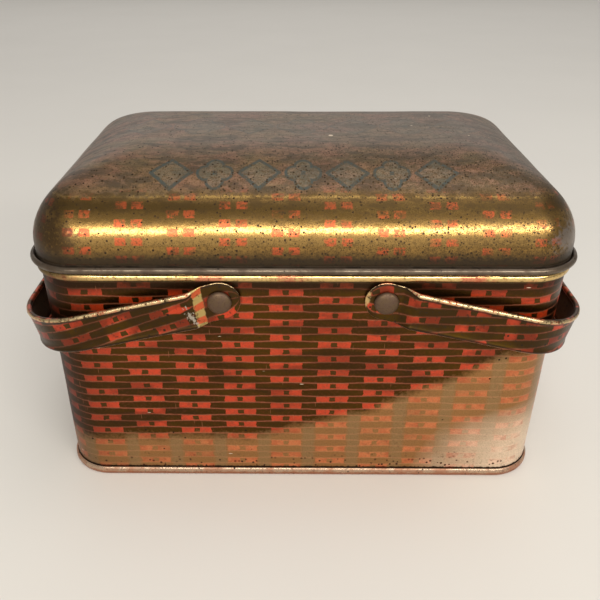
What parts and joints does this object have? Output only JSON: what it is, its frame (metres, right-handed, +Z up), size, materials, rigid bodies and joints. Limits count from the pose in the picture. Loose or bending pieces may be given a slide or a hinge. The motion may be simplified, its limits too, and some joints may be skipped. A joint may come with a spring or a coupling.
{
  "type": "lithographed tin box",
  "caption": "Rectangular printed tinplate box with rounded corners, a domed lift-off slip lid with a curled rim, and two riveted swing handles that hang round its ends.",
  "frame": {"origin": "middle of the box's footprint, on the surface it stands on", "axes": "+Z up, +X to the right along the long side, -Y towards the front long wall"},
  "size_m": [0.2088, 0.1236, 0.1276],
  "materials": {
    "printed_tin": "red weave print over gold lacquer on tinplate, satin, worn and scratched",
    "lid_tin": "gold lacquer with a worn red print and brown patina, satin",
    "handle_tin": "red weave print over gold lacquer, rubbed bright along the rolled edges",
    "bare_tin": "bare tinplate, dulled and lightly stained",
    "rivet_steel": "dull dark steel with a brown patina"
  },
  "bodies": {
    "box": {"body_wall": "printed_tin", "bottom_panel": "bare_tin", "rivet_front_left": "rivet_steel", "rivet_front_right": "rivet_steel", "rivet_back_left": "rivet_steel", "rivet_back_right": "rivet_steel", "burr_front_left": "bare_tin", "burr_front_right": "bare_tin", "burr_back_left": "bare_tin", "burr_back_right": "bare_tin"},
    "lid": {"lid_shell": "lid_tin"},
    "left_handle": {"handle_left": "handle_tin"},
    "right_handle": {"handle_right": "handle_tin"}
  },
  "joints": [
    {"name": "lid_lift", "type": "slide", "parent": "box", "child": "lid", "axis": [0, 0, 1], "range_m": [0, 0.1]},
    {"name": "left_handle_swing", "type": "hinge", "parent": "box", "child": "left_handle", "pos_m": [-0.029, 0, 0.0828], "axis": [0, 1, 0], "range_deg": [0, 119]},
    {"name": "right_handle_swing", "type": "hinge", "parent": "box", "child": "right_handle", "pos_m": [0.029, 0, 0.0828], "axis": [0, -1, 0], "range_deg": [0, 119]}
  ]
}
